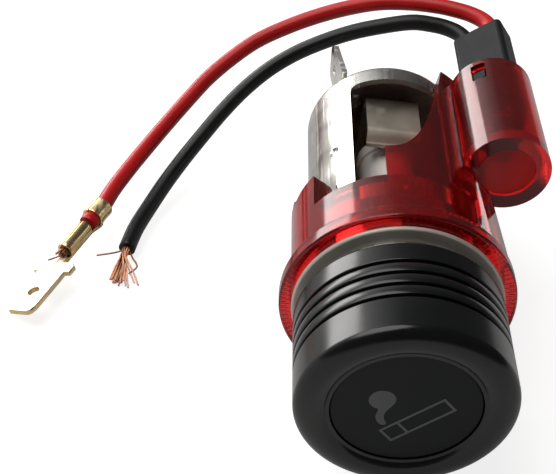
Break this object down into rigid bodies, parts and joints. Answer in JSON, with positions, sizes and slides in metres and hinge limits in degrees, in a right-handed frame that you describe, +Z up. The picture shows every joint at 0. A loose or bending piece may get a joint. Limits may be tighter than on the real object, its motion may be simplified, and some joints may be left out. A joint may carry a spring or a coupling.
{
  "type": "car 12 v lighter socket",
  "caption": "Dashboard 12 V lighter socket with a red illuminated ring, side lamp housing on two leads and its push-in lighter plug.",
  "frame": {"origin": "on the socket's axis, in the plane of the light ring's rear face, which sits on the dashboard panel", "axes": "-Y out of the socket's mouth towards the driver, +Y towards the terminals, +Z up through the shell's window, +X towards the lamp housing's side"},
  "size_m": [0.0706, 0.0816, 0.0328],
  "materials": {
    "nickel_shell": "nickel-plated steel, bright",
    "plated_steel": "plated steel, satin",
    "fibre": "brown insulating fibre",
    "brass": "plain brass",
    "clip_bronze": "dull spring bimetal",
    "red_plastic": "translucent red, glossy moulding",
    "grey_plastic": "dark grey, satin",
    "bulb_glass": "clear glass",
    "red_sleeve": "red PVC, satin",
    "black_sleeve": "black PVC, satin",
    "copper": "bare copper strands",
    "black_plastic": "black satin moulding",
    "disc_plastic": "black, fine matt",
    "symbol_grey": "grey print",
    "spring_steel": "spring wire",
    "ceramic": "unglazed ceramic",
    "heating_ribbon": "oxidised resistance ribbon"
  },
  "bodies": {
    "socket": {"socket_shell": "nickel_shell", "earth_tab": "plated_steel", "earth_rivet": "plated_steel", "live_tab": "plated_steel", "outer_insulator": "fibre", "inner_insulator": "fibre", "centre_rivet": "brass", "contact_clip": "clip_bronze", "light_ring": "red_plastic", "bulb_holder": "grey_plastic", "bulb": "bulb_glass", "lamp_contact_red": "brass", "lamp_contact_black": "brass", "red_lead": "red_sleeve", "black_lead": "black_sleeve", "tab_terminal": "brass", "red_strands": "copper", "black_strands": "copper"},
    "plug": {"plug_sleeve": "nickel_shell"},
    "plug_core": {"return_spring": "spring_steel", "knob": "black_plastic", "knob_disc": "disc_plastic", "symbol_outline": "symbol_grey", "symbol_smoke": "symbol_grey", "spindle": "plated_steel", "stop_washer": "plated_steel", "spacer_bush": "ceramic", "element_cup": "nickel_shell", "cup_insulator": "ceramic", "heating_coil": "heating_ribbon", "coil_pin": "plated_steel"}
  },
  "joints": [
    {"name": "plug_pull", "type": "slide", "parent": "socket", "child": "plug", "axis": [0, -1, 0], "range_m": [0, 0.035]},
    {"name": "knob_push", "type": "slide", "parent": "plug", "child": "plug_core", "axis": [0, 1, 0], "range_m": [0, 0.0019], "stiffness_N_per_m": 500, "springref_m": -0.002, "deforming": ["return_spring"]}
  ]
}
